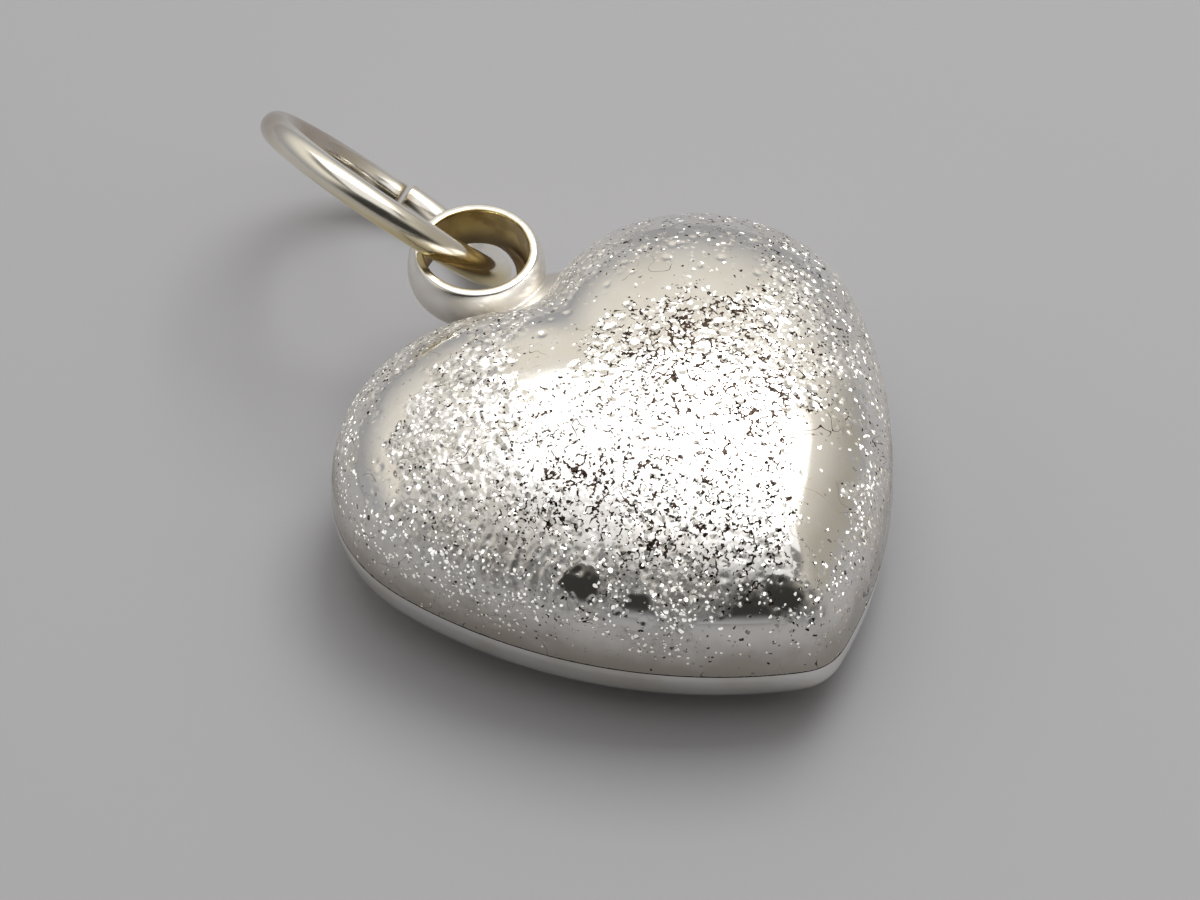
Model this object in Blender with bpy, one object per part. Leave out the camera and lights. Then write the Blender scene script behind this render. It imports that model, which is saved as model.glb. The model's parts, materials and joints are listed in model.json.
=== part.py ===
# A puffed silver heart pendant: two pressed half shells joined along a seam, an eyelet soldered
# into the notch, and an open jump ring that hangs in the eyelet and takes a chain or a cord.
# The heart lies on its back. Metres, +Z up, +X to the right, +Y from the heart's tip to the eyelet.
# The origin is on the floor, in the middle of the small flat that the back rests on.

from math import acos, asin, atan2, ceil, copysign, cos, pi, radians, sin, sqrt

import bmesh
import bpy
from mathutils import Matrix, Vector

mm = 0.001

# Heart outline, seen from the front
heart_width = 16.0 * mm
heart_height = 14.7 * mm
lobe_radius = 4.6 * mm
side_radius = 14.4 * mm
tip_radius = 1.4 * mm
notch_radius = 1.8 * mm
apex_from_tip = 8.3 * mm

# Puffed halves: how far each bulges from the seam, how square its shoulder is, and the upright
# land round each rim
front_rise = 3.9 * mm
back_rise = 2.1 * mm
dome_fullness = 2.65
shoulder_fullness = 2.75
wall = 0.45 * mm
rim_land = 0.1 * mm
rest_flat_width = 4.0 * mm
oval_width = 13.0 * mm
oval_height = 12.0 * mm

# Solder bead along the inside of the seam
bead_width = 0.5 * mm
bead_height = 0.9 * mm

# Eyelet: a short barrel-shaped tube with a solder foot
eyelet_diameter = 3.8 * mm
eyelet_face_diameter = 3.4 * mm
eyelet_bore = 2.9 * mm
eyelet_length = 1.4 * mm
eyelet_edge = 0.24 * mm
eyelet_lift = 1.6 * mm
foot_width = 5.4 * mm
foot_depth = 2.4 * mm
foot_height = 1.1 * mm
foot_drop = 0.25 * mm

# Jump ring: round wire, butted and not soldered. It leans over, with its low side on the floor.
ring_bore = 6.5 * mm
ring_wire = 0.86 * mm
split_width = 0.16 * mm
split_step = 0.14 * mm
split_angle = radians(-66)
ring_turn = radians(8.7)
ring_lean = radians(37.4)
ring_seat_angle = radians(12)
hinge_tilt = radians(26)

# Clearances
gap = 0.3 * mm
solder_film = 0.05 * mm
ring_play = 0.25 * mm
floor_gap = 0.02 * mm

# Mesh steps
outline_step = 0.6 * mm
front_rings = 11
back_rings = 9
front_top = 0.12
wire_sides = 14
ring_steps = 60
eyelet_steps = 48
edge_steps = 3
barrel_steps = 6
bead_sides = 8
foot_steps = 36
foot_rings = 18

seam_height = back_rise + gap / 2
wall_middle = (eyelet_diameter + eyelet_bore) / 4


def clear_scene():
    for item in list(bpy.data.objects):
        bpy.data.objects.remove(item, do_unlink=True)


def material(name, color, roughness):
    made = bpy.data.materials.new(name)
    made.use_nodes = True
    shader = made.node_tree.nodes["Principled BSDF"]
    shader.inputs["Base Color"].default_value = (*color, 1.0)
    shader.inputs["Metallic"].default_value = 1.0
    shader.inputs["Roughness"].default_value = roughness
    return made


def arc(center, radius, start, end):
    """Points along an arc, its first one left out so that arcs follow on."""
    steps = max(2, ceil(abs(end - start) * radius / outline_step))
    angles = [start + (end - start) * (i + 1) / steps for i in range(steps)]
    return [Vector((center.x + radius * cos(a), center.y + radius * sin(a))) for a in angles]


def angle_from(center, point):
    return atan2(point.y - center.y, point.x - center.x)


def lobe_center():
    return Vector((heart_width / 2 - lobe_radius, heart_height - lobe_radius - apex_from_tip))


def heart_outline():
    """The closed outline from the notch round by the right lobe and the tip, made of arcs."""
    lobe = lobe_center()
    tip = Vector((0.0, tip_radius - apex_from_tip))
    notch = Vector((0.0, lobe.y + sqrt((lobe_radius + notch_radius) ** 2 - lobe.x ** 2)))
    # The side's arc runs round the lobe and the tip and touches both
    span = (tip - lobe).length
    to_lobe = side_radius - lobe_radius
    to_tip = side_radius - tip_radius
    corner = acos((to_lobe ** 2 + span ** 2 - to_tip ** 2) / (2 * to_lobe * span))
    toward = angle_from(lobe, tip) - corner
    side = lobe + to_lobe * Vector((cos(toward), sin(toward)))
    right = [Vector((0.0, notch.y - notch_radius))]
    right += arc(notch, notch_radius, -pi / 2, angle_from(notch, lobe))
    right += arc(lobe, lobe_radius, angle_from(lobe, notch), angle_from(side, lobe))
    right += arc(side, side_radius, angle_from(side, lobe), angle_from(side, tip))
    right += arc(tip, tip_radius, angle_from(side, tip), -pi / 2)
    left = [Vector((-p.x, p.y)) for p in reversed(right[1:-1])]
    return right + left


def level(outline, share):
    """One level line of the dome: the heart at the rim, fading to a soft oval near the apex."""
    fade = (1 - share) ** 3
    line = []
    for p in outline:
        heading = Vector(p).normalized()
        across = heading.x / (oval_width / 2)
        along = heading.y / (oval_height / 2)
        oval = heading / sqrt(across ** 2 + along ** 2)
        line.append(share * p.lerp(oval, fade))
    return line


def rise_share(share):
    return max(1 - share ** dome_fullness, 0.0) ** (1 / shoulder_fullness)


def share_at(height):
    """The front dome's level at this height above its rim."""
    climb = (height - rim_land) / (front_rise - rim_land)
    return (1 - climb ** shoulder_fullness) ** (1 / dome_fullness)


def dome(mesh, base, rise, rings, top_share):
    """Adds a dome that faces out: its rim, the upright land, the bulge and a flat top. Returns
    the rim."""
    outline = heart_outline()
    first = asin(top_share)
    land = copysign(rim_land, rise)
    loops = [[mesh.verts.new((*p, base)) for p in outline]]
    for i in range(rings + 1):
        share = sin(pi / 2 + (first - pi / 2) * i / rings)
        height = base + land + (rise - land) * rise_share(share) / rise_share(top_share)
        loops.append([mesh.verts.new((*p, height)) for p in level(outline, share)])
    for low, high in zip(loops, loops[1:]):
        for i, j in turns(len(low)):
            corners = [low[i], low[j], high[j], high[i]]
            mesh.faces.new(corners if rise < 0 else reversed(corners))
    mesh.faces.new(loops[-1] if rise < 0 else reversed(loops[-1]))
    return loops[0]


def turns(count):
    """Each place along a closed loop with the next one."""
    return [(i, (i + 1) % count) for i in range(count)]


def skin(mesh, loops, closed):
    """A solid through loops of points: closed all round, or capped at both ends."""
    rings = [[mesh.verts.new(p) for p in loop] for loop in loops]
    pairs = list(zip(rings, rings[1:]))
    if closed:
        pairs.append((rings[-1], rings[0]))
    else:
        mesh.faces.new(rings[0])
        mesh.faces.new(rings[-1])
    for a, b in pairs:
        for i, j in turns(len(a)):
            mesh.faces.new((a[i], a[j], b[j], b[i]))
    bmesh.ops.recalc_face_normals(mesh, faces=mesh.faces)


def finish(mesh, name, surface=None, origin=None):
    """Makes an object of a mesh in world coordinates, with its own origin if one is given."""
    place = origin or Matrix.Identity(4)
    mesh.transform(place.inverted())
    data = bpy.data.meshes.new(name)
    mesh.to_mesh(data)
    mesh.free()
    data.shade_smooth()
    data.set_sharp_from_angle(angle=radians(35))
    made = bpy.data.objects.new(name, data)
    made.matrix_world = place
    if surface:
        data.materials.append(surface)
    bpy.context.scene.collection.objects.link(made)
    return made


def hide(cutter):
    cutter.hide_render = True
    cutter.display_type = "WIRE"


def boolean(target, other, operation):
    step = target.modifiers.new(other.name, "BOOLEAN")
    step.operation = operation
    step.solver = "EXACT"
    step.object = other


def half_shell(name, base, rise, rings, top_share, surface):
    """A pressed half: its outer dome, thickened inwards by the wall."""
    mesh = bmesh.new()
    dome(mesh, base, rise, rings, top_share)
    made = finish(mesh, name, surface)
    solid = made.modifiers.new("Wall", "SOLIDIFY")
    solid.thickness = wall
    solid.offset = -1
    solid.use_even_offset = True
    return made


def front_shell(surface):
    return half_shell("front_shell", back_rise + gap, front_rise, front_rings, front_top, surface)


def back_shell(surface):
    """The back half, flat where it rests."""
    flat = rest_flat_width / oval_width
    return half_shell("back_shell", back_rise, -back_rise, back_rings, flat, surface)


def seam_bead(surface):
    """The solder inside the seam: a bead that follows the outline, clear of both walls."""
    outline = heart_outline()
    inset = wall + gap + bead_width / 2
    loops = []
    for i, j in turns(len(outline)):
        along = (outline[j] - outline[i - 1]).normalized()
        inward = Vector((along.y, -along.x))
        center = outline[i] + inset * inward
        loop = []
        for k in range(bead_sides):
            a = 2 * pi * (k + 0.5) / bead_sides
            side = center + bead_width / 2 * cos(a) * inward
            loop.append((*side, seam_height + bead_height / 2 * sin(a)))
        loops.append(loop)
    mesh = bmesh.new()
    skin(mesh, loops, closed=True)
    return finish(mesh, "seam_bead", surface)


def heart_cutter():
    """The closed heart, grown by the gap, for cutting what is fitted to it."""
    mesh = bmesh.new()
    upper = dome(mesh, back_rise + gap, front_rise, front_rings, front_top)
    lower = dome(mesh, back_rise, -back_rise, back_rings, front_top)
    for i, j in turns(len(upper)):
        mesh.faces.new((upper[i], upper[j], lower[j], lower[i]))
    mesh.normal_update()
    for vert, move in [(v, v.normal * gap) for v in mesh.verts]:
        vert.co += move
    cutter = finish(mesh, "heart_cutter")
    hide(cutter)
    return cutter


def lobe_at_eyelet():
    """The right lobe's centre and radius at the eyelet's height."""
    share = share_at(eyelet_lift)
    return share * lobe_center(), share * lobe_radius


def eyelet_center():
    """The eyelet sits in the notch between both lobes, a gap and a film of solder off them."""
    lobe, radius = lobe_at_eyelet()
    apart = radius + gap + solder_film + eyelet_diameter / 2
    return Vector((0.0, lobe.y + sqrt(apart ** 2 - lobe.x ** 2), seam_height + eyelet_lift))


def eyelet_profile():
    """Radius and height points of the tube's wall: straight bore, round edges, barrel outside."""
    half = eyelet_length / 2
    bore = eyelet_bore / 2
    bulge = (eyelet_diameter - eyelet_face_diameter) / 2
    barrel = (half ** 2 + bulge ** 2) / (2 * bulge)
    inner = []
    for i in range(edge_steps + 1):
        a = pi / 2 * i / edge_steps
        inner.append((bore + eyelet_edge * (1 - cos(a)), half - eyelet_edge * (1 - sin(a))))
    outer = []
    reach = asin(half / barrel)
    for i in range(barrel_steps + 1):
        a = reach * (1 - 2 * i / barrel_steps)
        outer.append((eyelet_diameter / 2 - barrel * (1 - cos(a)), barrel * sin(a)))
    return inner + outer + [(r, -z) for r, z in reversed(inner)]


def tube_around(center, profile, steps):
    """Loops of a profile turned about the vertical through the centre."""
    loops = []
    for i in range(steps):
        a = 2 * pi * i / steps
        loops.append([center + Vector((r * cos(a), r * sin(a), z)) for r, z in profile])
    return loops


def solder_pool(center):
    """The solder foot before it is cut: a flattened oval ball."""
    mesh = bmesh.new()
    size = Matrix.LocRotScale(center, None, (foot_width / 2, foot_depth / 2, foot_height / 2))
    bmesh.ops.create_uvsphere(
        mesh, u_segments=foot_steps, v_segments=foot_rings, radius=1.0, matrix=size)
    pool = finish(mesh, "solder_pool")
    hide(pool)
    return pool


def foot_bore(center):
    """A cylinder that keeps the foot out of the tube's bore and inside its wall."""
    mesh = bmesh.new()
    bmesh.ops.create_cone(
        mesh, cap_ends=True, segments=eyelet_steps, depth=2 * eyelet_length,
        radius1=wall_middle, radius2=wall_middle, matrix=Matrix.Translation(center))
    cutter = finish(mesh, "foot_bore")
    hide(cutter)
    return cutter


def eyelet(surface):
    """The tube with its solder foot, which fills the corners between it and both lobes."""
    center = eyelet_center()
    lobe, _ = lobe_at_eyelet()
    toward_lobe = (lobe - center.xy).normalized()
    foot_center = center + Vector((0.0, eyelet_diameter / 2 * toward_lobe.y, -foot_drop))
    foot = solder_pool(foot_center)
    boolean(foot, heart_cutter(), "DIFFERENCE")
    boolean(foot, foot_bore(center), "DIFFERENCE")
    mesh = bmesh.new()
    skin(mesh, tube_around(center, eyelet_profile(), eyelet_steps), closed=True)
    made = finish(mesh, "eyelet", surface)
    boolean(made, foot, "UNION")
    return made


def seat_heading():
    """The direction from the eyelet's centre to the part of its wall that the ring hangs on."""
    return Vector((-sin(ring_seat_angle), cos(ring_seat_angle), 0.0))


def wire_offset(angle):
    """How far along the ring's axis the wire stands at an angle: the split's step over one turn."""
    return split_step * ((angle - split_angle) % (2 * pi) / (2 * pi) - 0.5)


def ring_frame():
    """The jump ring's frame: centre, X away from the eyelet and level, Y uphill, Z its axis."""
    center = eyelet_center()
    out = Vector((-sin(ring_turn), cos(ring_turn), 0.0))
    uphill = Vector((-sin(ring_lean) * cos(ring_turn), -sin(ring_lean) * sin(ring_turn), cos(ring_lean)))
    axis = out.cross(uphill)
    radius = (ring_bore + ring_wire) / 2
    # Measured from the middle of the wall: how high the ring lies, with its low side on the floor
    low = ring_wire / 2 + radius * cos(ring_lean) - wire_offset(-pi / 2) * sin(ring_lean)
    height = floor_gap + low
    climb = (height - center.z) / cos(ring_lean)
    # Where the bore's upper edge crosses the ring's plane
    edge_climb = eyelet_length / 2 / cos(ring_lean)
    seat = wall_middle * seat_heading()
    edge = (seat + edge_climb * uphill).xy
    along = edge.dot(out.xy)
    edge_out = sqrt((eyelet_bore / 2) ** 2 - edge.length_squared + along ** 2) - along
    # The ring hangs over that edge, short of touching it by the play
    reach = ring_bore / 2 - ring_play
    outward = edge_out + sqrt(reach ** 2 - (climb - edge_climb) ** 2)
    place = center + seat + outward * out + climb * uphill
    turn = Matrix((out, uphill, axis)).transposed()
    return Matrix.Translation(place) @ turn.to_4x4()


def hinge_frame():
    """The ring's hinge: on the eyelet's outer face, its axis along the wall there but tilted
    towards the ring's own axis. Z is the axis."""
    heading = seat_heading()
    place = eyelet_center() + eyelet_diameter / 2 * heading
    axis = Vector((heading.y * cos(hinge_tilt), -heading.x * cos(hinge_tilt), sin(hinge_tilt)))
    turn = axis.to_track_quat("Z", "Y").to_matrix()
    return Matrix.Translation(place) @ turn.to_4x4()


def jump_ring(surface):
    """A turn of round wire with a narrow split, one end a little past the other sideways."""
    radius = (ring_bore + ring_wire) / 2
    half_split = split_width / 2 / radius
    start = split_angle + half_split
    sweep = 2 * pi - 2 * half_split
    loops = []
    for i in range(ring_steps + 1):
        share = i / ring_steps
        a = start + sweep * share
        heading = Vector((cos(a), sin(a), 0.0))
        center = radius * heading + Vector((0.0, 0.0, split_step * (share - 0.5)))
        loop = []
        for k in range(wire_sides):
            b = 2 * pi * k / wire_sides
            loop.append(center + ring_wire / 2 * (cos(b) * heading + Vector((0.0, 0.0, sin(b)))))
        loops.append(loop)
    mesh = bmesh.new()
    skin(mesh, loops, closed=False)
    mesh.transform(ring_frame())
    return finish(mesh, "jump_ring", surface, hinge_frame())


def report(name, vector):
    print(name, *(round(v, 6) for v in vector))


clear_scene()
front_shell(material("stardust_silver", (0.86, 0.85, 0.83), 0.32))
back_shell(material("polished_silver", (0.88, 0.87, 0.85), 0.14))
seam_bead(material("silver_solder", (0.80, 0.78, 0.73), 0.35))
eyelet(material("eyelet_silver", (0.90, 0.88, 0.84), 0.12))
jump_ring(material("ring_silver", (0.86, 0.83, 0.75), 0.10))
hinge = hinge_frame()
report("hinge point", hinge.translation)
report("hinge axis", hinge.col[2].xyz)
report("ring centre", ring_frame().translation)
report("ring axis", ring_frame().col[2].xyz)
report("eyelet centre", eyelet_center())
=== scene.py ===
# A silver puffed heart pendant with a struck, sparkling front, lying on its back.
# The shapes are made in millimetres and brought to metres when each piece is done.
import json
from math import cos, pi, radians, sin

import bpy
import bmesh
from mathutils import Matrix, Vector, noise

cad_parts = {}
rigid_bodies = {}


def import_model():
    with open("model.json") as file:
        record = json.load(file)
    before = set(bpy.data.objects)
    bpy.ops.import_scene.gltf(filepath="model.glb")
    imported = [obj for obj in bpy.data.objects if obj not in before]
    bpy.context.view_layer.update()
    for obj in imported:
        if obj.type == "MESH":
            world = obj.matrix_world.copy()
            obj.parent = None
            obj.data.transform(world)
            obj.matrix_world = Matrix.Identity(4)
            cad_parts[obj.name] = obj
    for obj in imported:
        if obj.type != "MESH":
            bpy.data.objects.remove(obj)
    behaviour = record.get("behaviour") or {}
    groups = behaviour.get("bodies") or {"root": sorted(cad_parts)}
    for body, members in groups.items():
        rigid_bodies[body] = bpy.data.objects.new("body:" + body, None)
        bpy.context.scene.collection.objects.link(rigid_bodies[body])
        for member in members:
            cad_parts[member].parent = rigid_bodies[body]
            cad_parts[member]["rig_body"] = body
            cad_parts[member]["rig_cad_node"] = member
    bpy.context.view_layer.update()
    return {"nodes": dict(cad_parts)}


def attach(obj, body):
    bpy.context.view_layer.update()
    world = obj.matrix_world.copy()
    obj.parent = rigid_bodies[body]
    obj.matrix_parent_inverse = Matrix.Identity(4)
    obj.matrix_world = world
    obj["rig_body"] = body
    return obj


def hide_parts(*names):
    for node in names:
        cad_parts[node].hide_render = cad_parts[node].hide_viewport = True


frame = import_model()
print("frame loaded")

mm = 0.001
weld = 0.001               # mm within which points are merged
quadAngle = radians(60)    # how far two triangles may bend and still be merged into a quad
creaseAngle = radians(40)  # edges that turn by more stay sharp
roundSides = 128           # sides of the round bars that cut the eyelet


# Helpers for the modelling

def onlySelect(piece):
    bpy.ops.object.select_all(action="DESELECT")
    piece.select_set(True)
    bpy.context.view_layer.objects.active = piece


def applyPlace():
    bpy.ops.object.transform_apply(location=True, rotation=True, scale=True)


def scaleMesh(piece, factor):
    onlySelect(piece)
    piece.scale = (factor, factor, factor)
    applyPlace()


def applyModifier(piece, kind, **settings):
    onlySelect(piece)
    step = piece.modifiers.new(kind.title(), kind)
    for name, value in settings.items():
        setattr(step, name, value)
    bpy.ops.object.modifier_apply(modifier=step.name)


def smoothOut(piece, levels):
    applyModifier(piece, "SUBSURF", levels=levels, render_levels=levels)


def booleanWith(piece, other, operation):
    applyModifier(piece, "BOOLEAN", object=other, operation=operation, solver="EXACT")
    bpy.data.objects.remove(other)


def copyNode(node, name):
    # A copy of a CAD node in millimetres, with its loose triangles merged into quads
    source = frame["nodes"][node]
    onlySelect(source)
    bpy.ops.object.duplicate()
    piece = bpy.context.active_object
    bpy.ops.object.parent_clear(type="CLEAR_KEEP_TRANSFORM")
    piece.name = name
    piece.data.name = name
    piece.data.materials.clear()
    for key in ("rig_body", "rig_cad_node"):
        del piece[key]
    scaleMesh(piece, 1 / mm)
    bpy.ops.object.mode_set(mode="EDIT")
    bpy.ops.mesh.select_all(action="SELECT")
    bpy.ops.mesh.remove_doubles(threshold=weld)
    bpy.ops.mesh.tris_convert_to_quads(face_threshold=quadAngle, shape_threshold=quadAngle)
    bpy.ops.object.mode_set(mode="OBJECT")
    return piece


def pickFaces(piece, test):
    # Selects the faces that pass the test, in edit mode
    bpy.ops.object.mode_set(mode="EDIT")
    bpy.ops.mesh.select_mode(type="FACE")
    bpy.ops.mesh.select_all(action="DESELECT")
    mesh = bmesh.from_edit_mesh(piece.data)
    for face in mesh.faces:
        face.select_set(test(face))
    bmesh.update_edit_mesh(piece.data)


def pickOpenEdges(piece):
    # Selects the edges of every opening, in edit mode
    onlySelect(piece)
    bpy.ops.object.mode_set(mode="EDIT")
    bpy.ops.mesh.select_mode(type="EDGE")
    bpy.ops.mesh.select_all(action="DESELECT")
    bpy.ops.mesh.select_non_manifold()


def extendRim(piece, lift):
    # Draws the open rim straight up or down, and stays in edit mode
    pickOpenEdges(piece)
    bpy.ops.mesh.extrude_region_move(TRANSFORM_OT_translate={"value": (0, 0, lift)})


def faceOutwards():
    # Turns all faces of the piece being edited outwards, and ends the edit
    bpy.ops.mesh.select_all(action="SELECT")
    bpy.ops.mesh.normals_make_consistent(inside=False)
    bpy.ops.object.mode_set(mode="OBJECT")


def outerSkin(piece, rimHeight):
    # Leaves only the outer skin of a half shell, open at its rim
    def onRim(face):
        level = abs(face.calc_center_median().z - rimHeight) < 0.01
        return level and abs(face.normal.z) > 0.99

    onlySelect(piece)
    pickFaces(piece, onRim)
    bpy.ops.mesh.delete(type="FACE")
    mesh = bmesh.from_edit_mesh(piece.data)
    mesh.verts.ensure_lookup_table()
    widest = max(mesh.verts, key=lambda v: v.co.x)
    bpy.ops.mesh.select_mode(type="VERT")
    widest.select_set(True)
    bpy.ops.mesh.select_linked()
    bpy.ops.mesh.select_all(action="INVERT")
    bpy.ops.mesh.delete(type="VERT")
    bpy.ops.object.mode_set(mode="OBJECT")


def hollowOut(piece, shellCut):
    # Closes a dome's open rim and sinks a plain hollow into it, out of sight inside the heart
    pickOpenEdges(piece)
    bpy.ops.mesh.mark_sharp()
    bpy.ops.mesh.edge_face_add()
    bpy.ops.mesh.select_mode(type="FACE")
    bpy.ops.mesh.inset(thickness=shellCut["wall"], use_even_offset=True)
    for lift, share in shellCut["steps"]:
        bpy.ops.mesh.extrude_region_move(TRANSFORM_OT_translate={"value": (0, 0, lift)})
        bpy.ops.transform.resize(value=(share, share, 1), center_override=(0, 0, 0))
    faceOutwards()


def place(piece, body, slot, *nodes):
    scaleMesh(piece, mm)
    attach(piece, body)
    if nodes:
        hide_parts(*nodes)


# Helpers for the materials

class Value:
    # A socket of a shader that Python's sums work on
    def __init__(self, tree, socket):
        self.tree = tree
        self.socket = socket

    def sum(self, operation, *parts):
        node = self.tree.nodes.new("ShaderNodeMath")
        node.operation = operation
        for socket, part in zip(node.inputs, parts):
            feed(self.tree, socket, part)
        return Value(self.tree, node.outputs[0])

    def __add__(self, other):
        return self.sum("ADD", self, other)

    def __radd__(self, other):
        return self.sum("ADD", other, self)

    def __sub__(self, other):
        return self.sum("SUBTRACT", self, other)

    def __rsub__(self, other):
        return self.sum("SUBTRACT", other, self)

    def __mul__(self, other):
        return self.sum("MULTIPLY", self, other)

    def __rmul__(self, other):
        return self.sum("MULTIPLY", other, self)


def feed(tree, socket, part):
    if isinstance(part, Value):
        tree.links.new(part.socket, socket)
    elif isinstance(part, (tuple, list)) and len(part) == 3 and len(socket.default_value) == 4:
        socket.default_value = (*part, 1.0)
    else:
        socket.default_value = part


class Finish:
    # A material, or the world, and the ways to add nodes to it
    def __init__(self, owner):
        owner.use_nodes = True
        self.owner = owner
        self.tree = owner.node_tree

    def node(self, kind, settings=None, out=0, **inputs):
        # Sockets go by name, or by number as i0, i1 and so on
        made = self.tree.nodes.new("ShaderNode" + kind)
        for name, value in (settings or {}).items():
            setattr(made, name, value)
        for name, part in inputs.items():
            spaced = name.replace("_", " ")
            socket = made.inputs[int(name[1:])] if name[1:].isdigit() else made.inputs[spaced]
            feed(self.tree, socket, part)
        return Value(self.tree, made.outputs[out])

    def vector(self, operation, a, b=(0, 0, 0), out="Vector"):
        return self.node("VectorMath", {"operation": operation}, out=out, i0=a, i1=b)

    def scaled(self, a, factor):
        return self.node("VectorMath", {"operation": "SCALE"}, i0=a, Scale=factor)

    def position(self):
        # Object coordinates, in millimetres
        return self.scaled(self.node("TexCoord", out="Object"), 1 / mm)

    def along(self, where, axis):
        return self.node("SeparateXYZ", out=axis, Vector=where)

    def attribute(self, name):
        return self.node("Attribute", {"attribute_name": name}, out="Fac")

    def cloud(self, where, scale, detail=2.0, roughness=0.5, distortion=0.0):
        return self.node("TexNoise", Vector=where, Scale=scale, Detail=detail,
                         Roughness=roughness, Distortion=distortion)

    def cells(self, where, scale, out="Distance", feature="F1"):
        return self.node("TexVoronoi", {"feature": feature}, out=out, Vector=where, Scale=scale)

    def chance(self, cell, out="Value"):
        # A number, or a colour, of its own for each cell
        return self.node("TexWhiteNoise", {"noise_dimensions": "3D"}, out=out, Vector=cell)

    def apart(self, cell):
        # A second number for each cell, which has nothing to do with the first
        return self.node("SeparateColor", out="Green", Color=self.chance(cell, "Color"))

    def leanOf(self, cell, much):
        # Each cell leans its own way, as far as much says
        anyWay = self.vector("SUBTRACT", self.chance(cell, "Color"), (0.5, 0.5, 0.5))
        return self.scaled(anyWay, much)

    def absolute(self, value):
        return self.node("Math", {"operation": "ABSOLUTE"}, i0=value)

    def most(self, a, b):
        return self.node("Math", {"operation": "MAXIMUM"}, i0=a, i1=b)

    def step(self, value, low, high, start=0.0, end=1.0):
        return self.node("MapRange", {"interpolation_type": "SMOOTHSTEP"}, Value=value,
                         From_Min=low, From_Max=high, To_Min=start, To_Max=end)

    def fall(self, value, low, high, end=0.0):
        return self.step(value, low, high, 1.0, end)

    def under(self, share, luck, soft=0.01):
        # Where a cell's luck is under the share, with a soft edge
        return self.step(share - luck, -soft, soft)

    def mixColor(self, share, a, b):
        return self.node("Mix", {"data_type": "RGBA"}, out=2, i0=share, i6=a, i7=b)

    def shader(self, **inputs):
        principled = self.tree.nodes["Principled BSDF"]
        for name, part in inputs.items():
            feed(self.tree, principled.inputs[name.replace("_", " ")], part)


def newFinish(name):
    return Finish(bpy.data.materials.new(name))


def dress(piece, finish):
    piece.data.materials.clear()
    piece.data.materials.append(finish.owner)


# The camera, at the photograph's angle

cameraView = {
    "azimuth": -36.48,     # degrees round the heart, 0 looks along +Y
    "elevation": 49.54,    # degrees above the floor
    "distance": 200.0,     # mm from the aim
    "frameWidth": 32.39,   # mm across the picture at the aim
    "aimRight": -1.119,    # mm
    "aimUp": -0.182,
    "aimHeight": 3.5,
    "sensor": 36.0,
    "clip": (0.01, 10),    # m, the nearest and farthest that it sees
}


def makeCamera(view):
    turn, rise = radians(view["azimuth"]), radians(view["elevation"])
    right = Vector((cos(turn), sin(turn), 0))
    back = Vector((sin(turn) * cos(rise), -cos(turn) * cos(rise), sin(rise)))
    up = back.cross(right)
    aim = view["aimRight"] * right + view["aimUp"] * up + Vector((0, 0, view["aimHeight"]))
    data = bpy.data.cameras.new("camera")
    data.sensor_width = view["sensor"]
    data.lens = view["distance"] / view["frameWidth"] * view["sensor"]
    data.clip_start, data.clip_end = view["clip"]
    made = bpy.data.objects.new("camera", data)
    bpy.context.scene.collection.objects.link(made)
    turned = Matrix((right, up, back)).transposed().to_4x4()
    made.matrix_world = Matrix.Translation((aim + view["distance"] * back) * mm) @ turned
    bpy.context.scene.camera = made


makeCamera(cameraView)

# The light: soft panels side by side overhead, brightest at the far right, and a plain room
panels = (
    {"name": "near", "right": (-0.48, 0.58), "far": (-0.60, 0.15), "radiance": 0.66},
    {"name": "farLeft", "right": (-0.48, 0.05), "far": (0.15, 0.92), "radiance": 1.25},
    {"name": "farRight", "right": (0.05, 0.60), "far": (0.15, 0.92), "radiance": 5.40},
    {"name": "side", "right": (0.60, 0.86), "far": (0.05, 0.92), "radiance": 0.80},
)
panelHeight = 0.30         # m above the floor, and the unit of the panels' sides

# The room's colours, and where each starts and is full: rise is a direction's height, right and
# near are how far it points that way, all as parts of its length
room = {
    "low": (0.36, 0.36, 0.37),
    "band": (0.80, 0.76, 0.68),     # a warm wall, far away, under the panels' edge
    "bandRise": (0.12, 0.62),
    "right": (0.38, 0.355, 0.31),
    "rightTurn": (0.45, 0.90),
    "rightRise": (0.02, 0.25),
    "above": (0.22, 0.21, 0.20),
    "aboveRise": (0.68, 0.80),
    "near": (0.035, 0.034, 0.032),  # the dark behind the camera
    "nearTurn": (0.30, 0.70),
    "nearRise": (0.0, 0.24),
    "strength": 1.0,
}


def photoAxes():
    # Away from the camera and to its right, along the floor
    turn = radians(cameraView["azimuth"])
    return Vector((-sin(turn), cos(turn), 0)), Vector((cos(turn), sin(turn), 0))


def makePanel(panel):
    far, right = photoAxes()
    lamp = bpy.data.lights.new(panel["name"], "AREA")
    lamp.shape = "RECTANGLE"
    lamp.size = panelHeight * (panel["right"][1] - panel["right"][0])
    lamp.size_y = panelHeight * (panel["far"][1] - panel["far"][0])
    lamp.energy = panel["radiance"] * pi * lamp.size * lamp.size_y
    made = bpy.data.objects.new(panel["name"], lamp)
    bpy.context.scene.collection.objects.link(made)
    middle = panelHeight * (sum(panel["far"]) / 2 * far + sum(panel["right"]) / 2 * right)
    middle.z = panelHeight
    turned = Matrix.Rotation(radians(cameraView["azimuth"]), 4, "Z")
    made.matrix_world = Matrix.Translation(middle) @ turned


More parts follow.
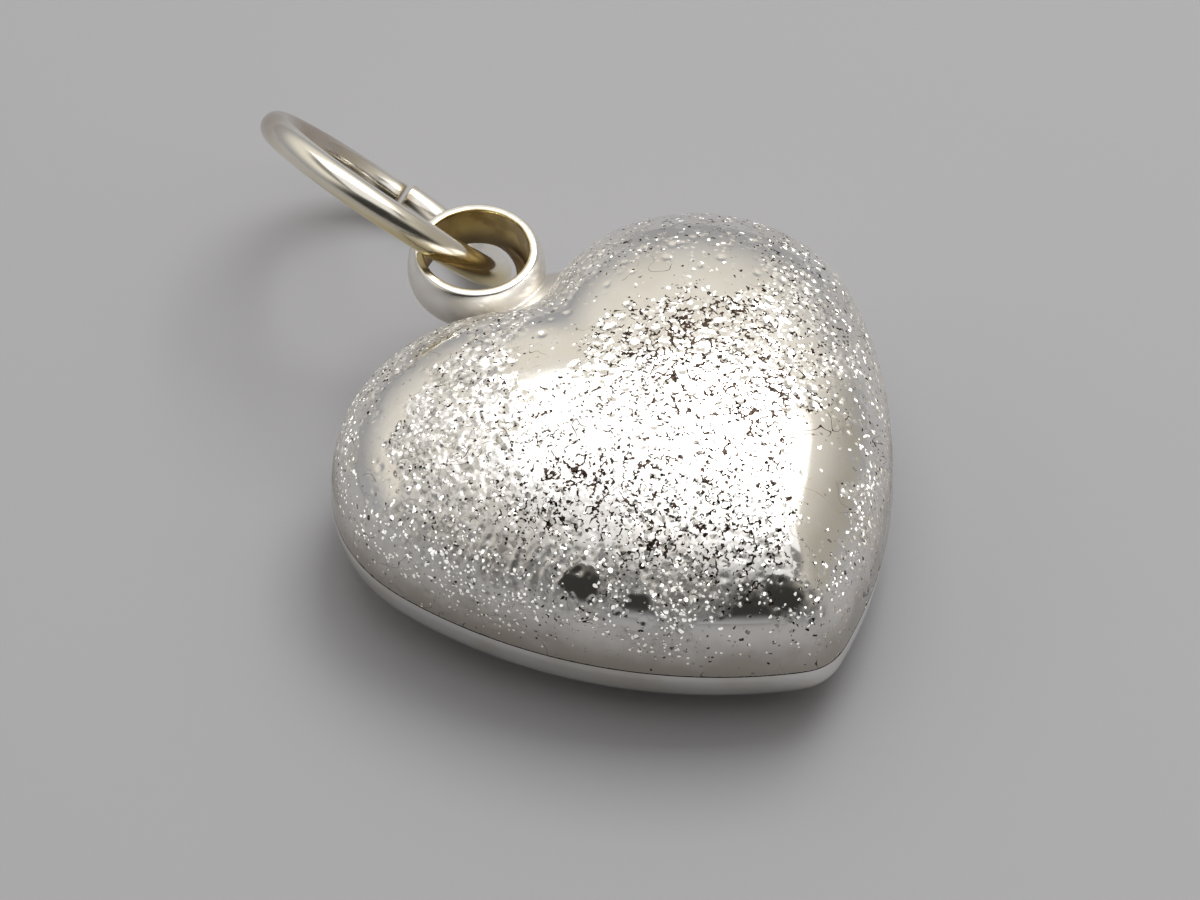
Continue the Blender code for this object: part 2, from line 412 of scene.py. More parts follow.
def makeRoom(look):
    world = bpy.data.worlds.new("room")
    bpy.context.scene.world = world
    sky = Finish(world)
    far, right = photoAxes()
    where = sky.node("TexCoord", out="Generated")
    rise = sky.along(where, "Z")
    toNear = sky.vector("DOT_PRODUCT", where, -far, "Value")
    toRight = sky.vector("DOT_PRODUCT", where, right, "Value")
    tone = sky.mixColor(sky.step(rise, *look["bandRise"]), look["low"], look["band"])
    beside = sky.step(toRight, *look["rightTurn"]) * sky.step(rise, *look["rightRise"])
    tone = sky.mixColor(beside, tone, look["right"])
    tone = sky.mixColor(sky.step(rise, *look["aboveRise"]), tone, look["above"])
    dark = sky.step(toNear, *look["nearTurn"]) * sky.step(rise, *look["nearRise"])
    tone = sky.mixColor(dark, tone, look["near"])
    back = sky.tree.nodes["Background"]
    feed(sky.tree, back.inputs["Color"], tone)
    back.inputs["Strength"].default_value = look["strength"]


for panel in panels:
    makePanel(panel)
makeRoom(room)
bpy.context.scene.view_settings.view_transform = "Standard"
print("camera and light made")

# The floor
floorLook = {"size": 3.0, "color": (0.42, 0.42, 0.44), "roughness": 0.7}


def makeFloor(look):
    bpy.ops.object.select_all(action="DESELECT")
    bpy.ops.mesh.primitive_plane_add(size=look["size"], location=(0, 0, 0))
    floor = bpy.context.active_object
    floor.name = "floor"
    paper = newFinish("paleFloor")
    paper.shader(Base_Color=look["color"], Roughness=look["roughness"])
    dress(floor, paper)


makeFloor(floorLook)

# The front half, struck all over with a fine point
frontHalf = {
    "rim": 2.40,           # mm above the floor, where the CAD half ends
    "reach": 0.148,        # how far the pressed edge goes on to meet the other half
    "smoothing": 3,
    "voxel": 0.066,
    "hollow": {"wall": 0.45, "steps": ((1.4, 0.97), (1.2, 0.85))},
    "pit": (0.23, 0.040),  # mm across a pit with the land round it, and its depth
    "pitReach": (0.45, 0.25),             # a pit's radius in cells at least, and what luck adds
    "pitSteep": 1.6,
    "pitDeep": (0.45, 0.55),              # share of the depth at least, and what luck adds
    "nick": (0.12, 0.014),
    "cobble": (0.22, 0.034),
    "groove": (3.2, 1.5),                 # how narrow the grooves between cobbles are, how sharp
    "streak": (0.16, 0.030),
    "streakAlong": (0.80, 0.23, 0.56),    # the streaks run up the dome here
    "streakPlace": (-5.9, -2.2, 4.3),
    "streakReach": 2.6,
    "landEnd": 2.7,        # mm above the floor, where the strikes thin out over the band below
    "landFade": 0.7,
    "landKeeps": 0.10,     # share of the strikes that the band keeps
    "landWobble": 0.8,
    "mirrorEdge": (0.75, 0.40),           # in a mirror's sizes: where its edge starts, how wide
    "wobble": ((1.9, 0.35), (4.1, 0.20)),  # waves to the mm in those edges, and their height
    "drift": ((0.8, 0.45), (2.1, 0.35)),  # waves to the mm in the strikes, and their height
    "fieldBlend": 0.2,     # how softly the fields run into each other
}
strikeNames = ("facet", "speck", "cobble")

# How the strikes lie: x, y, z in mm, then the shares of bright facets, dark specks and cobbles
strikeFields = (
    ((-2.6, 0.1, 6.2), 0.08, 0.35, 0.05),
    ((-1.2, -1.5, 6.2), 0.04, 0.40, 0.00),
    ((0.8, -1.0, 6.3), 0.10, 0.75, 0.00),
    ((2.2, 0.4, 6.2), 0.20, 0.95, 0.00),
    ((2.1, -2.4, 6.1), 0.22, 0.95, 0.00),
    ((0.2, -3.4, 6.1), 0.15, 0.70, 0.00),
    ((-2.9, -4.2, 5.6), 0.60, 0.80, 0.10),
    ((-0.7, -5.2, 5.8), 0.60, 0.60, 0.10),
    ((-3.5, -2.4, 5.9), 0.25, 0.85, 0.10),
    ((-5.6, 2.0, 5.6), 0.60, 0.12, 1.00),
    ((-5.4, 3.9, 5.4), 0.60, 0.10, 0.80),
    ((-3.4, 2.6, 6.0), 0.40, 0.20, 0.80),
    ((-6.4, 0.4, 5.2), 0.65, 0.10, 0.60),
    ((-7.7, 0.4, 3.6), 0.75, 0.02, 0.00),
    ((-6.7, -1.8, 3.9), 0.75, 0.02, 0.00),
    ((-4.6, -3.4, 5.2), 0.70, 0.10, 0.20),
    ((-3.4, -5.4, 4.7), 0.90, 0.05, 0.20),
    ((2.6, 3.6, 5.9), 0.30, 0.12, 0.00),
    ((5.3, 3.5, 5.5), 0.30, 0.10, 0.00),
    ((5.9, 1.2, 5.5), 0.30, 0.18, 0.00),
    ((5.5, -0.7, 5.5), 0.35, 0.35, 0.00),
    ((4.4, -3.9, 5.0), 0.25, 0.08, 0.00),
    ((3.7, -5.7, 4.0), 0.75, 0.02, 0.00),
    ((5.7, -2.8, 4.0), 0.75, 0.02, 0.00),
    ((6.6, -0.8, 4.2), 0.60, 0.02, 0.00),
    ((1.0, -7.8, 3.2), 0.50, 0.02, 0.00),
    ((-1.9, -7.4, 2.6), 0.15, 0.00, 0.00),
    ((-4.9, -4.7, 2.6), 0.10, 0.00, 0.00),
    ((-6.9, 4.0, 4.3), 0.85, 0.02, 0.10),
    ((-7.8, 2.5, 3.4), 0.60, 0.02, 0.00),
    ((7.6, 0.5, 3.4), 0.60, 0.02, 0.00),
    ((0.0, 4.0, 4.6), 0.50, 0.02, 0.00),
    ((1.3, 4.7, 5.1), 0.80, 0.01, 0.00),
)

# Places on the front where the strikes missed and a mirror is left: x, y, z and size in mm, and
# how much of the strikes they keep
mirrorPatches = (
    ((-1.75, 1.90, 6.2), (1.35, 0.75, 1.5), 0.02),
    ((-0.70, 2.80, 6.1), (1.3, 0.75, 1.5), 0.08),
    ((0.90, 3.05, 6.1), (1.2, 0.8, 1.5), 0.10),
    ((2.60, 2.75, 6.1), (1.4, 0.8, 1.5), 0.12),
    ((4.30, 1.90, 5.9), (1.4, 0.9, 1.5), 0.15),
    ((-6.20, 3.45, 5.1), (1.0, 0.7, 0.8), 0.05),
    ((-5.00, 4.10, 5.4), (1.0, 0.6, 0.8), 0.03),
    ((-3.60, 4.35, 5.6), (1.1, 0.55, 0.8), 0.05),
    ((-7.10, 2.50, 4.7), (0.6, 1.0, 0.8), 0.15),
    ((2.70, -4.60, 5.5), (1.1, 1.2, 1.2), 0.04),
    ((1.60, -5.70, 5.4), (1.0, 1.3, 1.0), 0.03),
    ((0.50, -6.60, 5.1), (0.8, 0.9, 0.8), 0.15),
    ((-4.85, -3.70, 4.8), (0.6, 0.55, 0.6), 0.05),
    ((-4.05, -5.10, 4.3), (0.55, 0.6, 0.5), 0.10),
    ((-2.56, -6.68, 4.0), (0.6, 0.5, 0.45), 0.10),
    ((-1.75, -7.15, 4.2), (0.5, 0.45, 0.7), 0.15),
    ((-0.60, -7.15, 4.9), (0.5, 0.5, 0.8), 0.25),
)


def clampShare(value):
    return min(max(value, 0.0), 1.0)


def keptAt(point, look):
    # How much of the strikes is left here, next to the mirrors and over the band at the seam
    (slow, slowHigh), (quick, quickHigh) = look["wobble"]
    wobble = slowHigh * noise.noise(point * slow + Vector((7, 3, 1)))
    wobble += quickHigh * noise.noise(point * quick)
    edge, fade = look["mirrorEdge"]
    kept = 1.0
    for middle, size, left in mirrorPatches:
        away = Vector((a - b) / c for a, b, c in zip(point, middle, size)).length + wobble
        kept *= left + (1 - left) * clampShare((away - edge) / fade)
    above = point.z - look["landEnd"] + look["landWobble"] * wobble
    land = clampShare(above / look["landFade"])
    return kept * (look["landKeeps"] + (1 - look["landKeeps"]) * land)


def strikesAt(point, look):
    # The shares of facets, specks and cobbles: those of the fields, the nearest counting most
    sums = [0.0, 0.0, 0.0]
    total = 0.0
    for middle, *shares in strikeFields:
        weight = 1 / ((point - Vector(middle)).length_squared + look["fieldBlend"]) ** 2
        total += weight
        for i, share in enumerate(shares):
            sums[i] += weight * share
    (slow, slowHigh), (quick, quickHigh) = look["drift"]
    drift = 1 + slowHigh * noise.noise(point * slow) + quickHigh * noise.noise(point * quick)
    kept = keptAt(point, look) / total
    return [clampShare(share * kept * drift) for share in sums]


def luckAt(spot):
    # A number from 0 to 1 that belongs to a cell of the net
    return 0.5 + 0.5 * noise.cell(spot)


def pitAt(point, size, share, look):
    # Depth share of the pit that this point is in: pits are cells of a loose net, some left out
    near, cells = noise.voronoi(point / size)
    luck = luckAt(cells[0] * 51.3)
    if luck > share:
        return 0.0
    least, byLuck = look["pitReach"]
    reach = least + byLuck * luckAt(cells[0] * 17.9 + Vector((5, 5, 5)))
    sharp = max(1 - near[0] / reach, 0.0)
    least, byLuck = look["pitDeep"]
    return min(sharp * look["pitSteep"], 1.0) * (least + byLuck * (1 - luck / max(share, 0.01)))


def grooveAt(point, size, look):
    # Depth share of the grooves between cobbles
    near, _ = noise.voronoi(point / size + Vector((3, 8, 2)))
    narrow, sharp = look["groove"]
    return clampShare(1 - narrow * (near[1] - near[0])) ** sharp


def streakAt(point, size, look):
    # Depth share of the scraped streaks low on the left
    along = Vector(look["streakAlong"])
    short = point - 0.85 * point.dot(along) * along    # draws the waves out along the streaks
    near = clampShare(1.3 - (point - Vector(look["streakPlace"])).length / look["streakReach"])
    return near * clampShare(0.5 + 1.5 * noise.noise(short / size))


def depthAt(point, shares, look):
    # How deep this point is struck, in mm
    facet, speck, cobble = shares
    size, deep = look["pit"]
    depth = deep * pitAt(point, size, 0.8 * facet, look)
    size, deep = look["nick"]
    depth += deep * pitAt(point, size, 0.5 * speck, look)
    size, deep = look["cobble"]
    depth += deep * cobble * grooveAt(point, size, look)
    size, deep = look["streak"]
    return depth + deep * min(2 * facet, 1) * streakAt(point, size, look)


def strike(piece, look):
    # Weights say how deep each point is struck, a Displace modifier strikes it, and attributes
    # keep the shares for the finish
    group = piece.vertex_groups.new(name="struck")
    deepest = sum(look[name][1] for name in ("pit", "nick", "cobble", "streak"))
    shares = [strikesAt(vert.co, look) for vert in piece.data.vertices]
    depths = [depthAt(vert.co, share, look) for vert, share in zip(piece.data.vertices, shares)]
    for index, depth in enumerate(depths):
        if depth > 0:
            group.add([index], depth / deepest, "REPLACE")
    applyModifier(piece, "DISPLACE", direction="NORMAL", mid_level=0.0, strength=-deepest,
                  vertex_group="struck")
    for i, name in enumerate(strikeNames):
        layer = piece.data.attributes.new(name, "FLOAT", "POINT")
        layer.data.foreach_set("value", [share[i] for share in shares])
    piece.vertex_groups.clear()
    onlySelect(piece)
    bpy.ops.object.shade_smooth()


def makeFront(look):
    # An even net of small faces drawn onto the smooth dome, then struck
    bottom = look["rim"] - look["reach"]

    def onBottom(face):
        return face.normal.z < -0.7 and face.calc_center_median().z < bottom + 0.05

    piece = copyNode("front_shell", "stardust_front")
    outerSkin(piece, look["rim"])
    extendRim(piece, -look["reach"])
    bpy.ops.object.mode_set(mode="OBJECT")
    smoothOut(piece, look["smoothing"])
    smooth = piece.copy()
    smooth.data = piece.data.copy()
    bpy.context.scene.collection.objects.link(smooth)
    pickOpenEdges(piece)
    bpy.ops.mesh.edge_face_add()
    bpy.ops.object.mode_set(mode="OBJECT")
    applyModifier(piece, "REMESH", mode="VOXEL", voxel_size=look["voxel"])
    pickFaces(piece, onBottom)
    bpy.ops.mesh.delete(type="FACE")
    bpy.ops.object.mode_set(mode="OBJECT")
    print("front remeshed:", len(piece.data.polygons), "faces")
    applyModifier(piece, "SHRINKWRAP", target=smooth, wrap_method="NEAREST_SURFACEPOINT")
    bpy.data.objects.remove(smooth)
    strike(piece, look)
    hollowOut(piece, look["hollow"])
    return piece


# The front's finish. Scales count to the mm, heights are mm above the floor, and a pair of
# numbers is where a change starts and ends, unless its note says otherwise
frontSilver = {
    "ruffle": (6.0, 0.12),            # ruffles in the cells' edges, and their reach in mm
    "facets": 10.5,
    "chips": 6.2,                     # large flakes
    "stones": 4.6,                    # cobbles
    "specks": 14.0,
    "chains": 3.0,                    # clouds that the chains of specks and the grime follow
    "hairs": 0.85,
    "soil": 0.8,
    "lowDown": (4.2, 5.4),            # heights under which more flakes are thrown up
    "smallFlakes": (0.16, 0.22),      # their share high up, and what is added low down
    "largeFlakes": (0.01, 0.15),
    "smallEdge": (0.38, 0.50),
    "largeEdge": (0.36, 0.46),
    "hard": 0.70,                     # share of the hard struck facets
    "hardHeight": (3.2, 4.4),
    "lean": (0.24, 1.15, 0.20),       # of any facet, more if hard struck, more in a flake
    "calm": 0.55,                     # how far the cobbles calm that lean
    "stoneLean": 0.42,
    "flakeUp": (0.12, -0.18, 0.97),   # the way that the flakes' faces are thrown up
    "thrown": (1.4, 1.6),             # how far at least, and what luck adds
    "chainEdge": (0.018, 0.060),
    "speckShare": (0.03, 0.85),       # outside the chains, and what is added in them
    "hairEdge": (0.0015, 0.0035),
    "hairSoil": (0.53, 0.58),
    "grooveShadeGaps": (0.42, 0.58),
    "grooveShadeEdge": (0.03, 0.10),
    "grooveShadeShare": 0.55,
    "grooveShade": (0.24, 0.21, 0.18),      # painted shade in the lines between the cobbles
    # painted shade of the tiny pits, near black to brown, and also the colour of the scratches
    "pitShadeAndScratch": ((0.006, 0.005, 0.005), (0.09, 0.062, 0.046)),
    "silver": ((0.91, 0.895, 0.87), (0.87, 0.845, 0.80)),   # clean and worn
    "wear": (0.35, 0.70),
    "paintedLowShade": (0.44, 0.405, 0.350),     # painted shade low down by the seam, for the reflection of a darker floor
    "paintedLowShadeHeight": (2.4, 4.2),
    "paintedLowShadeDrift": 1.6,
    "satin": (0.15, 0.65),            # shares of facets from which the struck silver is satin
    "rough": (0.10, 0.28, 0.05, 0.10, 0.25),  # plain, then added by satin, facet, cobble, speck
}


def flakesIn(finish, net, scale, luck, share, edge):
    # Round flakes in the cells whose luck is under the share
    return finish.under(share, luck) * finish.fall(finish.cells(net, scale), *edge)


def silverFront(look):
    finish = newFinish("stardustSilver")
    where = finish.position()
    height = finish.along(where, "Z")
    facet, speck, cobble = (finish.attribute(name) for name in strikeNames)
    soil = finish.cloud(where, look["soil"], 3.0)
    ruffles, bend = look["ruffle"]
    ruffle = finish.node("TexNoise", out="Color", Vector=where, Scale=ruffles, Detail=1.0)
    bent = finish.node("VectorMath", {"operation": "MULTIPLY_ADD"}, i0=ruffle,
                       i1=(bend, bend, bend), i2=where)

    # Each cell has luck, which says whether it was struck and how, and its own lean. The luckiest
    # were thrown up into bright flakes, and the next ones were struck hard and lean far any way
    cell = finish.cells(bent, look["facets"], out="Position")
    chip = finish.cells(bent, look["chips"], out="Position")
    stone = finish.cells(bent, look["stones"], out="Position")
    luck = finish.chance(cell)
    struck = finish.under(facet, luck, 0.02)
    lowDown = finish.fall(height, *look["lowDown"])
    few, more = look["smallFlakes"]
    small = flakesIn(finish, bent, look["facets"], luck, (few + more * lowDown) * facet,
                     look["smallEdge"])
    few, more = look["largeFlakes"]
    large = flakesIn(finish, bent, look["chips"], finish.chance(chip),
                     (few + more * lowDown) * facet, look["largeEdge"])
    flake = finish.most(small, large)
    hard = finish.under(look["hard"] * facet * facet, luck) * (1 - flake)
    hard *= finish.step(height, *look["hardHeight"])
    least, ifHard, ifFlake = look["lean"]
    much = struck * (least + ifHard * hard + ifFlake * flake) * (1 - look["calm"] * cobble)
    stoneLean = finish.leanOf(stone, look["stoneLean"] * cobble)
    lean = finish.vector("ADD", finish.leanOf(cell, much), stoneLean)
    least, byLuck = look["thrown"]
    thrown = least + byLuck * (large * finish.apart(chip) + (1 - large) * finish.apart(cell))
    lean = finish.vector("ADD", lean, finish.scaled(look["flakeUp"], flake * thrown))
    facing = finish.node("NewGeometry", out="Normal")
    normal = finish.vector("NORMALIZE", finish.vector("ADD", facing, lean))

    # Dark specks run in chains: they crowd along the middle line of a cloud. Their near black
    # colour is painted shade, standing in for tiny pits that reflect the dark room
    middle = finish.absolute(finish.cloud(where, look["chains"]) - 0.5)
    crumb = finish.cells(bent, look["specks"], out="Position")
    few, more = look["speckShare"]
    share = speck * (few + more * finish.fall(middle, *look["chainEdge"]))
    dark = finish.under(share, finish.chance(crumb), 0.015)

    # Hairs lie along the middle line of a slower cloud, and painted shade lies in some of the
    # grooves between the cobbles
    fold = finish.absolute(finish.cloud(where, look["hairs"], 1.0, 0.5, 0.6) - 0.5)
    hair = finish.fall(fold, *look["hairEdge"]) * finish.step(soil, *look["hairSoil"])
    groove = finish.cells(bent, look["stones"], feature="DISTANCE_TO_EDGE")
    gaps = finish.step(finish.cloud(where, look["chains"]), *look["grooveShadeGaps"])
    outline = cobble * gaps * finish.fall(groove, *look["grooveShadeEdge"])

    # Silver, a little yellow in places, with painted shade low down by the seam that stands in for
    # the reflection of a darker floor
    paintedLowShade = finish.fall(height + look["paintedLowShadeDrift"] * (soil - 0.5), *look["paintedLowShadeHeight"])
    tone = finish.mixColor(finish.step(soil, *look["wear"]), *look["silver"])
    tone = finish.mixColor(paintedLowShade, tone, look["paintedLowShade"])
    # painted shade in the grooves between the cobbles
    tone = finish.mixColor(look["grooveShadeShare"] * outline, tone, look["grooveShade"])
    pitShadeAndScratch = finish.mixColor(finish.apart(crumb), *look["pitShadeAndScratch"])
    tone = finish.mixColor(finish.most(dark, hair), tone, pitShadeAndScratch)
    satin = finish.step(facet, *look["satin"]) * (1 - flake)
    plain, ifSatin, ifStruck, ifCobble, ifDark = look["rough"]
    rough = plain + ifSatin * satin + ifStruck * struck + ifCobble * cobble + ifDark * dark
    finish.shader(Base_Color=tone, Metallic=1.0, Roughness=rough, Normal=normal)
    return finish


# The smooth heart, grown by a thin film, that the eyelet's solder is cut to
heartCut = {"smoothing": 2, "drop": 0.5, "film": 0.012}    # mm


def heartBody(look):
    piece = copyNode("front_shell", "heart_body")
    outerSkin(piece, frontHalf["rim"])
    smoothOut(piece, look["smoothing"])
    extendRim(piece, -look["drop"])
    bpy.ops.mesh.edge_face_add()
    faceOutwards()
    applyModifier(piece, "DISPLACE", direction="NORMAL", mid_level=0.0, strength=look["film"])
    return piece


heartCore = heartBody(heartCut)
front = makeFront(frontHalf)
dress(front, silverFront(frontSilver))
place(front, "pendant", "stardust_silver", "front_shell")
print("front made:", len(front.data.polygons), "faces")

# The back half, plain and polished
backHalf = {
    "rim": 2.10,           # mm, as in the front half
    "reach": 0.148,
    "smoothing": 2,
    "hollow": {"wall": 0.45, "steps": ((-0.9, 0.95), (-0.5, 0.8))},
    "silver": ((0.84, 0.825, 0.80), (0.72, 0.69, 0.63)),    # clean and worn
    "wear": (0.35, 0.70),
    "scuffs": (0.45, 0.75),
    "soil": 0.6,           # clouds of wear to the mm
    "grain": 2.4,          # clouds of scuffs to the mm
    "rough": (0.10, 0.08),  # plain, and added by scuffs
}


def makeBack(look):
    piece = copyNode("back_shell", "polished_back")
    outerSkin(piece, look["rim"])
    extendRim(piece, look["reach"])
    bpy.ops.object.mode_set(mode="OBJECT")
    smoothOut(piece, look["smoothing"])
    bpy.ops.object.shade_smooth()
    hollowOut(piece, look["hollow"])
    return piece


def silverBack(look):
    finish = newFinish("polishedSilver")
    where = finish.position()
    soil = finish.cloud(where, look["soil"], 4.0)
    tone = finish.mixColor(finish.step(soil, *look["wear"]), *look["silver"])
    plain, scuffed = look["rough"]
    rough = plain + scuffed * finish.step(finish.cloud(where, look["grain"], 4.0), *look["scuffs"])
    finish.shader(Base_Color=tone, Metallic=1.0, Roughness=rough)
    return finish


back = makeBack(backHalf)
dress(back, silverBack(backHalf))
place(back, "pendant", "polished_silver", "back_shell")
print("back made:", len(back.data.polygons), "faces")

# The eyelet with its lump of solder
eyeletLook = {
    "middle": (0.0, 7.592, 3.85),       # mm
    "bore": 1.45,                       # radius
    "length": 1.40,
    "section": (0.45, 0.80),            # half sizes of the oval that the wall is cut from
    "sides": 64,                        # of that oval and of the pool
    "turns": 128,
    "poolMiddle": (0.6, 5.10, 2.95),    # the lump of solder in the notch
    "poolSize": (2.40, 1.95, 1.12),     # half sizes
    "poolTilt": -8.0,                   # degrees that its top leans away from the heart
    "lip": (3.10, 3.30),                # solder that ran into the bore: its bottom and top
    "lipBite": 0.2,                     # mm that it goes into the wall
    "lipCut": (-0.10, 8.00, 1.42),      # x, y and radius of the round that it leaves open
    "voxel": 0.032,
    "soften": 10,                       # rounds of smoothing
}

# Its finish. Heights are mm above the floor, and a pair of numbers is a start and an end
eyeletSilver = {
    "soil": 1.6,                        # clouds of wear to the mm
    "grain": 5.0,                       # clouds of scuffs to the mm
    "outer": ((0.93, 0.91, 0.875), (0.88, 0.845, 0.78)),    # clean and worn
    "outerWear": (0.35, 0.70),
    "inner": ((0.64, 0.52, 0.25), (0.44, 0.33, 0.16)),      # the tarnished bore
    "innerWear": (0.40, 0.65),
    "insideEdge": (0.02, 0.10),         # mm beyond the bore's radius
    # painted shade deep in the bore, down by the solder lip
    "deep": (0.25, 0.19, 0.12),
    "deepHeight": (3.3, 3.9),
    "deepDrift": 0.3,
    # painted shade low on the outside, where the eyelet's solder meets the heart
    "low": (0.74, 0.70, 0.63),
    "lowHeight": (3.5, 4.35),
    "lowDrift": 0.5,
    "rimHeight": (4.43, 4.53),
    "scuffs": (0.5, 0.8),
    "rough": (0.36, 0.22, 0.08, 0.10),  # plain, less on the rim, more by scuffs, more deep inside
}


def roundBar(middle, radius, length):
    bpy.ops.object.select_all(action="DESELECT")
    bpy.ops.mesh.primitive_cylinder_add(vertices=roundSides, radius=radius, depth=length,
                                        location=middle)
    return bpy.context.active_object


def barrel(look):
    # An oval section swept round the bore, with flat ends cut
    middle = Vector(look["middle"])
    bpy.ops.object.select_all(action="DESELECT")
    bpy.ops.mesh.primitive_circle_add(vertices=look["sides"], radius=1, fill_type="NOTHING",
                                      rotation=(pi / 2, 0, 0))
    piece = bpy.context.active_object
    applyPlace()
    wide, high = look["section"]
    bpy.ops.object.mode_set(mode="EDIT")
    bpy.ops.mesh.select_all(action="SELECT")
    bpy.ops.transform.resize(value=(wide, 1, high), center_override=(0, 0, 0))
    bpy.ops.transform.translate(value=(look["bore"], 0, 0))
    bpy.ops.object.mode_set(mode="OBJECT")
    applyModifier(piece, "SCREW", axis="Z", angle=2 * pi, steps=look["turns"],
                  render_steps=look["turns"], use_merge_vertices=True, merge_threshold=weld)
    onlySelect(piece)
    bpy.ops.transform.translate(value=middle)
    applyPlace()
    bpy.ops.object.mode_set(mode="EDIT")
    faceOutwards()
    booleanWith(piece, roundBar(middle, look["bore"] + 2 * wide, look["length"]), "INTERSECT")
    return piece


def solderPool(look):
    bpy.ops.object.select_all(action="DESELECT")
    bpy.ops.mesh.primitive_uv_sphere_add(segments=look["sides"], ring_count=look["sides"] // 2,
                                         location=look["poolMiddle"],
                                         rotation=(radians(look["poolTilt"]), 0, 0),
                                         scale=look["poolSize"])
    return bpy.context.active_object


def solderLip(look):
    # A thin crescent along the bottom of the bore, on the heart's side
    low, high = look["lip"]
    x, y, radius = look["lipCut"]
    height = (low + high) / 2
    tall = 2               # mm, well past the lip at both ends
    lip = roundBar((*look["middle"][:2], height), look["bore"] + look["lipBite"], high - low)
    booleanWith(lip, roundBar((x, y, height), radius, tall), "DIFFERENCE")
    return lip


def makeEyelet(look, heart):
    # Barrel and pool are one lump, bored through, with the lip in the bore and melted edges
    piece = barrel(look)
    piece.name = "eyelet_barrel"
    booleanWith(piece, solderPool(look), "UNION")
    bore = roundBar(look["middle"], look["bore"], 3 * look["length"])
    booleanWith(piece, bore, "DIFFERENCE")
    booleanWith(piece, solderLip(look), "UNION")
    applyModifier(piece, "REMESH", mode="VOXEL", voxel_size=look["voxel"])
    applyModifier(piece, "SMOOTH", factor=0.5, iterations=look["soften"])
    booleanWith(piece, heart, "DIFFERENCE")
    onlySelect(piece)
    bpy.ops.object.shade_smooth_by_angle(angle=creaseAngle)
    return piece


def silverEyelet(shape, look):
    finish = newFinish("eyeletSilver")
    where = finish.position()
    height = finish.along(where, "Z")
    soil = finish.cloud(where, look["soil"], 3.0)
    flat = finish.vector("MULTIPLY", finish.vector("SUBTRACT", where, shape["middle"]), (1, 1, 0))
    reach = finish.vector("LENGTH", flat, out="Value")
    inside = finish.fall(reach, *(shape["bore"] + edge for edge in look["insideEdge"]))
    # painted shade deep in the bore
    deep = finish.fall(height + look["deepDrift"] * (soil - 0.5), *look["deepHeight"])
    # painted shade low on the outside
    low = finish.fall(height + look["lowDrift"] * (soil - 0.5), *look["lowHeight"])
    outer = finish.mixColor(finish.step(soil, *look["outerWear"]), *look["outer"])
    outer = finish.mixColor(low, outer, look["low"])
    inner = finish.mixColor(finish.step(soil, *look["innerWear"]), *look["inner"])
    tone = finish.mixColor(inside, outer, finish.mixColor(deep, inner, look["deep"]))
    rim = finish.step(height, *look["rimHeight"])
    scuffs = finish.step(finish.cloud(where, look["grain"], 4.0), *look["scuffs"])
    plain, onRim, scuffed, within = look["rough"]
    rough = plain - onRim * rim + scuffed * scuffs + within * inside * deep
    finish.shader(Base_Color=tone, Metallic=1.0, Roughness=rough)
    return finish


eyelet = makeEyelet(eyeletLook, heartCore)
dress(eyelet, silverEyelet(eyeletLook, eyeletSilver))
place(eyelet, "pendant", "eyelet_silver", "eyelet")
print("eyelet made:", len(eyelet.data.polygons), "faces")

# The jump ring
ringLook = {
    "middle": (-0.295, 11.479, 3.337),   # mm
    "turn": 8.7,                         # degrees about the upright
    "lean": 37.4,                        # degrees that it leans over from upright
    "radius": 3.672,                     # to the middle of the wire
    "wire": 0.425,                       # the wire's radius
    "split": 0.16,                       # mm open between the ends
    "step": 0.14,                        # mm that one end stands beside the other
    "splitAngle": -66.0,
    "cutEdge": 0.03,
    "sides": 40,                         # of the wire
    "turns": 180,
}

# Its finish. Heights and places are mm, and a pair of numbers is a start and an end
ringSilver = {
    "soil": 1.1,                         # clouds of wear to the mm
    "grain": 4.0,                        # clouds of scuffs to the mm
    "pale": (0.92, 0.89, 0.83),
    # a painted warm reflection on the wire's underside
    "paintedGold": (0.80, 0.68, 0.38),
    "paintedGoldReach": (8.6, 12.0, 0.35),         # the painted gold reflection thins out to this share along Y
    "paintedGoldDrift": 2.0,
    "under": (-0.2, 0.75, 0.15),         # and from the wire's underside to its top
    "far": (0.50, 0.43, 0.35),           # a painted reflection of a warm wall, brown at the end away from the heart
    "farReach": (12.3, 14.4),
    "farTop": 6.6,                       # height from which that brown starts farther out
    "farSlope": 0.25,
    "cut": (0.58, 0.46, 0.26),           # brown round the cut ends
    "cutReach": (0.35, 0.60),
    "cutDrift": 0.4,
    "scuffs": (0.5, 0.8),
    "rough": (0.17, 0.08),               # plain, and added by scuffs
}


def makeRing(look):
    # A round section swept round with a slight pitch, so that the cut ends stand side by side
    bpy.ops.object.select_all(action="DESELECT")
    bpy.ops.mesh.primitive_circle_add(vertices=look["sides"], radius=look["wire"],
                                      fill_type="NOTHING", location=(look["radius"], 0, 0),
                                      rotation=(pi / 2, 0, 0))
    piece = bpy.context.active_object
    piece.name = "open_jump_ring"
    applyPlace()
    half = look["split"] / 2 / look["radius"]
    piece.location.z = -look["step"] / 2
    piece.rotation_euler.z = radians(look["splitAngle"]) + half
    applyPlace()
    applyModifier(piece, "SCREW", axis="Z", angle=2 * pi - 2 * half, screw_offset=look["step"],
                  steps=look["turns"], render_steps=look["turns"])
    pickOpenEdges(piece)
    bpy.ops.mesh.fill_holes(sides=0)
    bpy.ops.mesh.region_to_loop()
    bpy.ops.mesh.bevel(offset=look["cutEdge"], segments=2)
    faceOutwards()
    piece.matrix_world = ringSeat(look)
    onlySelect(piece)
    applyPlace()
    bpy.ops.object.shade_smooth_by_angle(angle=creaseAngle)
    return piece


